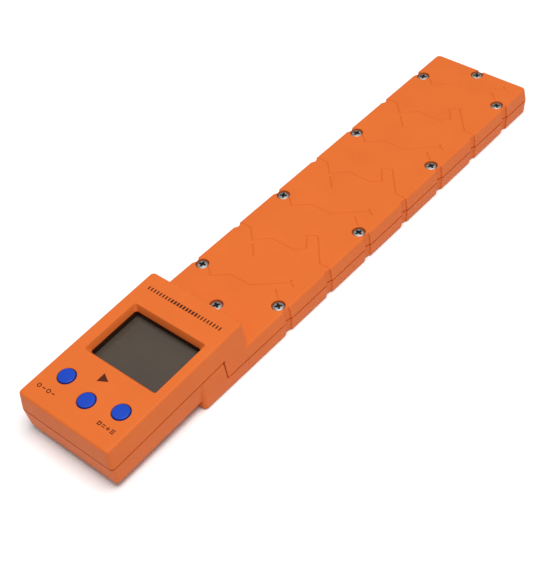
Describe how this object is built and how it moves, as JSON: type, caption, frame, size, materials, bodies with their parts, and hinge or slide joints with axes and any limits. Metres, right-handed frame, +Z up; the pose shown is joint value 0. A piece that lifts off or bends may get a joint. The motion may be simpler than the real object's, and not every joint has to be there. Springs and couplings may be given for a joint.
{
  "type": "portable wheel load scale",
  "caption": "Flat weighing beam with screwed orange half shells and a tilted display head with a recessed screen and round push buttons.",
  "frame": {"origin": "middle of the underside of the whole object, on the plane of the foot strips", "axes": "+X along the beam from the display head to the free end, +Y to the left when facing +X, +Z up"},
  "size_m": [0.433, 0.08, 0.041],
  "materials": {
    "shell": "fine moulded texture",
    "button": "semi-gloss",
    "screw": "machined",
    "pane": "clear acrylic pane",
    "lcd": "reflective display, unlit",
    "rubber": "ribbed",
    "plate_steel": "rolled",
    "cell_metal": "milled",
    "board": "solder mask",
    "black_plastic": "moulded",
    "white_plastic": "moulded",
    "contact_metal": "plated spring steel",
    "battery_sleeve": "printed foil sleeve, no marks",
    "cable": "jacket"
  },
  "bodies": {
    "housing": {"upper_shell": "shell", "lower_shell": "shell", "cover_screw_1": "screw", "cover_screw_2": "screw", "cover_screw_3": "screw", "cover_screw_4": "screw", "cover_screw_5": "screw", "cover_screw_6": "screw", "cover_screw_7": "screw", "cover_screw_8": "screw", "cover_screw_9": "screw", "cover_screw_10": "screw", "head_screw_1": "screw", "head_screw_2": "screw", "head_screw_3": "screw", "head_screw_4": "screw", "cell_top_screw_1": "screw", "cell_top_screw_2": "screw", "cell_top_screw_3": "screw", "cell_base_screw_1": "screw", "cell_base_screw_2": "screw", "cell_base_screw_3": "screw", "board_screw_1": "screw", "board_screw_2": "screw", "board_screw_3": "screw", "board_screw_4": "screw", "foot_strip_left": "rubber", "foot_strip_right": "rubber", "contact_strip_1": "rubber", "contact_strip_2": "rubber", "load_plate": "plate_steel", "base_plate": "plate_steel", "load_cell_1": "cell_metal", "load_cell_2": "cell_metal", "load_cell_3": "cell_metal", "display_window": "pane", "lcd_panel": "lcd", "main_board": "board", "key_board": "board", "board_link": "black_plastic", "buzzer": "black_plastic", "switch_body_power": "black_plastic", "switch_body_zero": "black_plastic", "switch_body_total": "black_plastic", "harness_plug": "white_plastic", "battery_1": "battery_sleeve", "battery_2": "battery_sleeve", "battery_spring_1": "contact_metal", "battery_spring_2": "contact_metal", "contact_bridge": "contact_metal", "contact_front": "contact_metal", "contact_rear": "contact_metal", "harness": "cable"},
    "power_button": {"button_power": "button", "switch_plunger_power": "white_plastic"},
    "zero_button": {"button_zero": "button", "switch_plunger_zero": "white_plastic"},
    "total_button": {"button_total": "button", "switch_plunger_total": "white_plastic"},
    "door": {"battery_door": "shell"}
  },
  "joints": [
    {"name": "power_press", "type": "slide", "parent": "housing", "child": "power_button", "axis": [0.0489, 0, -0.9988], "range_m": [0, 0.001], "stiffness_N_per_m": 800},
    {"name": "zero_press", "type": "slide", "parent": "housing", "child": "zero_button", "axis": [0.0489, 0, -0.9988], "range_m": [0, 0.001], "stiffness_N_per_m": 800},
    {"name": "total_press", "type": "slide", "parent": "housing", "child": "total_button", "axis": [0.0489, 0, -0.9988], "range_m": [0, 0.001], "stiffness_N_per_m": 800},
    {"name": "door_hinge", "type": "hinge", "parent": "housing", "child": "door", "pos_m": [-0.20524, 0, 0.00637], "axis": [0, 1, 0], "range_deg": [0, 80]}
  ]
}
